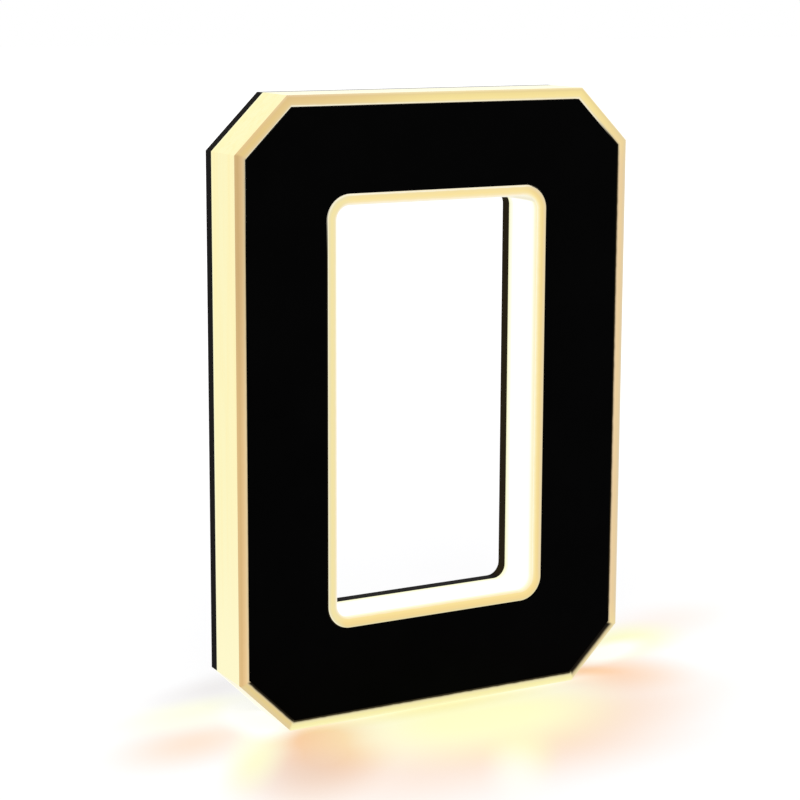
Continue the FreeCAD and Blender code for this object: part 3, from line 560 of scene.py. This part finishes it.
def threaded_inserts():
    """The four inserts for studs, with the thread that the plain bores stand for."""
    low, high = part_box("mount_inserts")
    mesh = bmesh.new()
    for x in (low.x / MM + STUD_RADIUS, high.x / MM - STUD_RADIUS):
        for z in (low.z / MM + STUD_RADIUS, high.z / MM - STUD_RADIUS):
            threaded_insert(mesh, x, z, high.y / MM, low.y / MM)
    bmesh.ops.remove_doubles(mesh, verts=mesh.verts, dist=SAME_POINT * MM)
    bmesh.ops.dissolve_degenerate(mesh, edges=mesh.edges, dist=NO_LENGTH * MM)
    bmesh.ops.recalc_face_normals(mesh, faces=mesh.faces)
    data = bpy.data.meshes.new("mount_inserts_threaded")
    mesh.to_mesh(data)
    mesh.free()
    data.shade_smooth()
    data.set_sharp_from_angle(angle=SMOOTH_UP_TO)
    data.materials.append(LOOKS["brass"].material)
    piece = bpy.data.objects.new("mount_inserts_threaded", data)
    bpy.context.scene.collection.objects.link(piece)
    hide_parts("mount_inserts")
    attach(piece, "root")


# The sign's light on the floor, painted as soft pools: x, y, half length, half width (mm), turn of the
# long side from +X (degrees) and strength, in layers that lie over each other on the white paper. The
# first and the brownish layers are painted shade.
PAINTED_LIGHT_AND_SHADE = (
    # Painted shade behind the sign on the left.
    (tone(236, 232, 230), ((-61, 38, 38, 16, 20, 0.55),)),
    (tone(251, 206, 166), (
        (-50, -27, 38, 28, 60, 0.75), (-44, -17, 30, 16, 0, 0.4), (-62, -44, 44, 28, 45, 0.4),
        (-84, -6, 42, 26, 20, 0.55), (-15, -56, 100, 50, 8, 0.52), (30, -54, 62, 46, 0, 0.32),
        (64, -30, 50, 40, 0, 0.34), (70, -8, 36, 29, -29, 0.62), (60, -3, 22, 8, -29, 0.3),
        (118, 28, 50, 26, 20, 0.22))),
    # Painted shade, brownish, over the peach by the lower left corner.
    (tone(236, 214, 200), ((-64, -46, 32, 26, 45, 0.6),)),
    (tone(255, 254, 204, 1.04), ((0, -28, 68, 46, 0, 1.05), (34, -28, 44, 28, 40, 0.3))),
    (tone(255, 245, 172), ((0, -13, 64, 9, 0, 0.6),)),
    (tone(255, 255, 206), (
        (-72, -26, 44, 12, 57, 0.85), (-74, 19, 38, 17, 8, 0.55), (93, 17, 34, 22, 20, 1.0),
        (2, -60, 34, 14, 61, 0.8))),
    (tone(255, 255, 248, 1.05), (
        (-57, 6, 28, 15, 80, 1.7), (-66, -12, 30, 8, 54, 0.3), (-10, -78, 34, 13, 61, 0.6),
        (82, 9, 26, 11, 20, 1.5), (-72, 12, 36, 16, 0, 0.3))),
)
# The paper, and about what the studio's light makes of it, which is taken off the colour to show.
PAPER = 0.25
PAPER_SHOWN = 0.225
# The floor's white near the sign and far out, and from where to where it changes, in millimetres.
FLOOR_NEAR = 1.015
FLOOR_FAR = 1.2
FLOOR_FADE = (150.0, 900.0)
# Half the floor's side, in metres.
FLOOR_REACH = 6.0


def seen_rays(tree):
    """1 for rays that show a thing: straight, mirrored or through glass. 0 for all other light."""
    path = tree.nodes.new("ShaderNodeLightPath")
    seen = path.outputs["Is Camera Ray"]
    for ray in ("Is Glossy Ray", "Is Transmission Ray"):
        either = tree.nodes.new("ShaderNodeMath")
        either.operation = "MAXIMUM"
        tree.links.new(seen, either.inputs[0])
        tree.links.new(path.outputs[ray], either.inputs[1])
        seen = either.outputs[0]
    return seen


def floor_with_painted_light(look):
    """The floor's white with the sign's pools of painted light, and of painted shade, over it."""
    from_middle = look.vector("LENGTH", look.place)
    colour = look.mix(look.step(from_middle, *FLOOR_FADE), grey(FLOOR_NEAR), grey(FLOOR_FAR))
    for tint, pools in PAINTED_LIGHT_AND_SHADE:
        amount = 0.0
        for *ellipse, strength in pools:
            near = look.times(look.step(look.within(*ellipse), 1.0, 0.0), strength)
            amount = look.calc("ADD", near, amount, clamp=True)
        colour = look.mix(amount, colour, tint)
    return colour


def floor_look():
    """Pale paper that takes the object's shadow, and shows as white with the sign's glow painted on it.
    """
    look = Look("studio_floor", Specular_IOR_Level=0.0)
    fibre = look.noise(0.8, detail=4.0)
    fibre_tone = (PAPER * 1.03, PAPER * 1.03, PAPER * 1.04, 1.0)
    look.feed("Base Color", look.mottle(fibre, grey(PAPER), fibre_tone))
    look.feed("Roughness", 0.9)
    look.bump(fibre, depth=0.02, strength=0.2)
    shown = look.vector("SUBTRACT", floor_with_painted_light(look), (PAPER_SHOWN,) * 3)
    look.feed("Emission Color", shown)
    look.feed("Emission Strength", seen_rays(look.tree))
    return look


def studio_floor():
    """The floor, a square at z = 0 that isn't part of the sign."""
    mesh = bpy.data.meshes.new("floor")
    square = ((-1, -1), (1, -1), (1, 1), (-1, 1))
    mesh.from_pydata([(x * FLOOR_REACH, y * FLOOR_REACH, 0) for x, y in square], [], [(0, 1, 2, 3)])
    floor = bpy.data.objects.new("floor", mesh)
    bpy.context.scene.collection.objects.link(floor)
    mesh.materials.append(floor_look().material)


def background(tree, colour, strength):
    """A Background shader's output."""
    node = tree.nodes.new("ShaderNodeBackground")
    node.inputs["Color"].default_value = colour
    node.inputs["Strength"].default_value = strength
    return node.outputs[0]


STUDIO_COLOUR = (0.97, 0.97, 1.0, 1.0)
STUDIO_LIGHT = 0.72


def studio_world():
    """Soft, faintly blue light from all round, and plain white where the world itself is seen."""
    world = bpy.data.worlds.new("studio")
    bpy.context.scene.world = world
    world.use_nodes = True
    tree = world.node_tree
    tree.nodes.clear()
    either = tree.nodes.new("ShaderNodeMixShader")
    tree.links.new(seen_rays(tree), either.inputs[0])
    tree.links.new(background(tree, STUDIO_COLOUR, STUDIO_LIGHT), either.inputs[1])
    tree.links.new(background(tree, grey(1.0), 1.0), either.inputs[2])
    output = tree.nodes.new("ShaderNodeOutputWorld")
    tree.links.new(either.outputs[0], output.inputs["Surface"])


# The one lamp: metres, watts and a linear colour.
KEY_PLACE = (-0.9, -1.5, 1.9)
KEY_TARGET = (0, 0, 0.1)
KEY_SIDE = 1.4
KEY_POWER = 26.0
KEY_COLOUR = (1.0, 0.99, 0.97)


def key_lamp():
    """A square soft light from the upper left in front, which isn't seen itself or mirrored."""
    data = bpy.data.lights.new("key", "AREA")
    data.shape = "RECTANGLE"
    data.size = KEY_SIDE
    data.size_y = KEY_SIDE
    data.energy = KEY_POWER
    data.color = KEY_COLOUR
    lamp = bpy.data.objects.new("key", data)
    aim = Vector(KEY_TARGET) - Vector(KEY_PLACE)
    lamp.location = KEY_PLACE
    lamp.rotation_euler = aim.to_track_quat("-Z", "Y").to_euler()
    lamp.visible_camera = False
    lamp.visible_glossy = False
    bpy.context.scene.collection.objects.link(lamp)


# The camera's turns in degrees: from straight in front, down, and about its own axis. Its place,
# sensor and lens are in millimetres, and the nearest distance it sees is in metres.
CAMERA_TURNS = (-28.68, 9.926, 0.219)
CAMERA_PLACE = (-334.531, -596.678, 236.042)
SENSOR = 36.0
LENS = 96.733
LENS_SHIFT = -0.0625
NEAREST_SEEN = 0.02


def camera():
    """The photograph's camera: left of the front, a little above the digit's middle."""
    azimuth, pitch, roll = (math.radians(angle) for angle in CAMERA_TURNS)
    ahead = Vector((-math.sin(azimuth) * math.cos(pitch), math.cos(azimuth) * math.cos(pitch),
                    -math.sin(pitch)))
    right = Vector((math.cos(azimuth), math.sin(azimuth), 0))
    up = right.cross(ahead)
    turned_right = right * math.cos(roll) + up * math.sin(roll)
    turned_up = up * math.cos(roll) - right * math.sin(roll)
    turn = Matrix((turned_right, turned_up, -ahead)).transposed().to_4x4()
    data = bpy.data.cameras.new("camera")
    data.sensor_width = SENSOR
    data.lens = LENS
    data.shift_y = LENS_SHIFT
    data.clip_start = NEAREST_SEEN
    view = bpy.data.objects.new("camera", data)
    view.matrix_world = Matrix.Translation(Vector(CAMERA_PLACE) * MM) @ turn
    bpy.context.scene.collection.objects.link(view)
    bpy.context.scene.camera = view


threaded_inserts()
studio_floor()
studio_world()
key_lamp()
camera()
bpy.context.scene.view_settings.view_transform = "Standard"
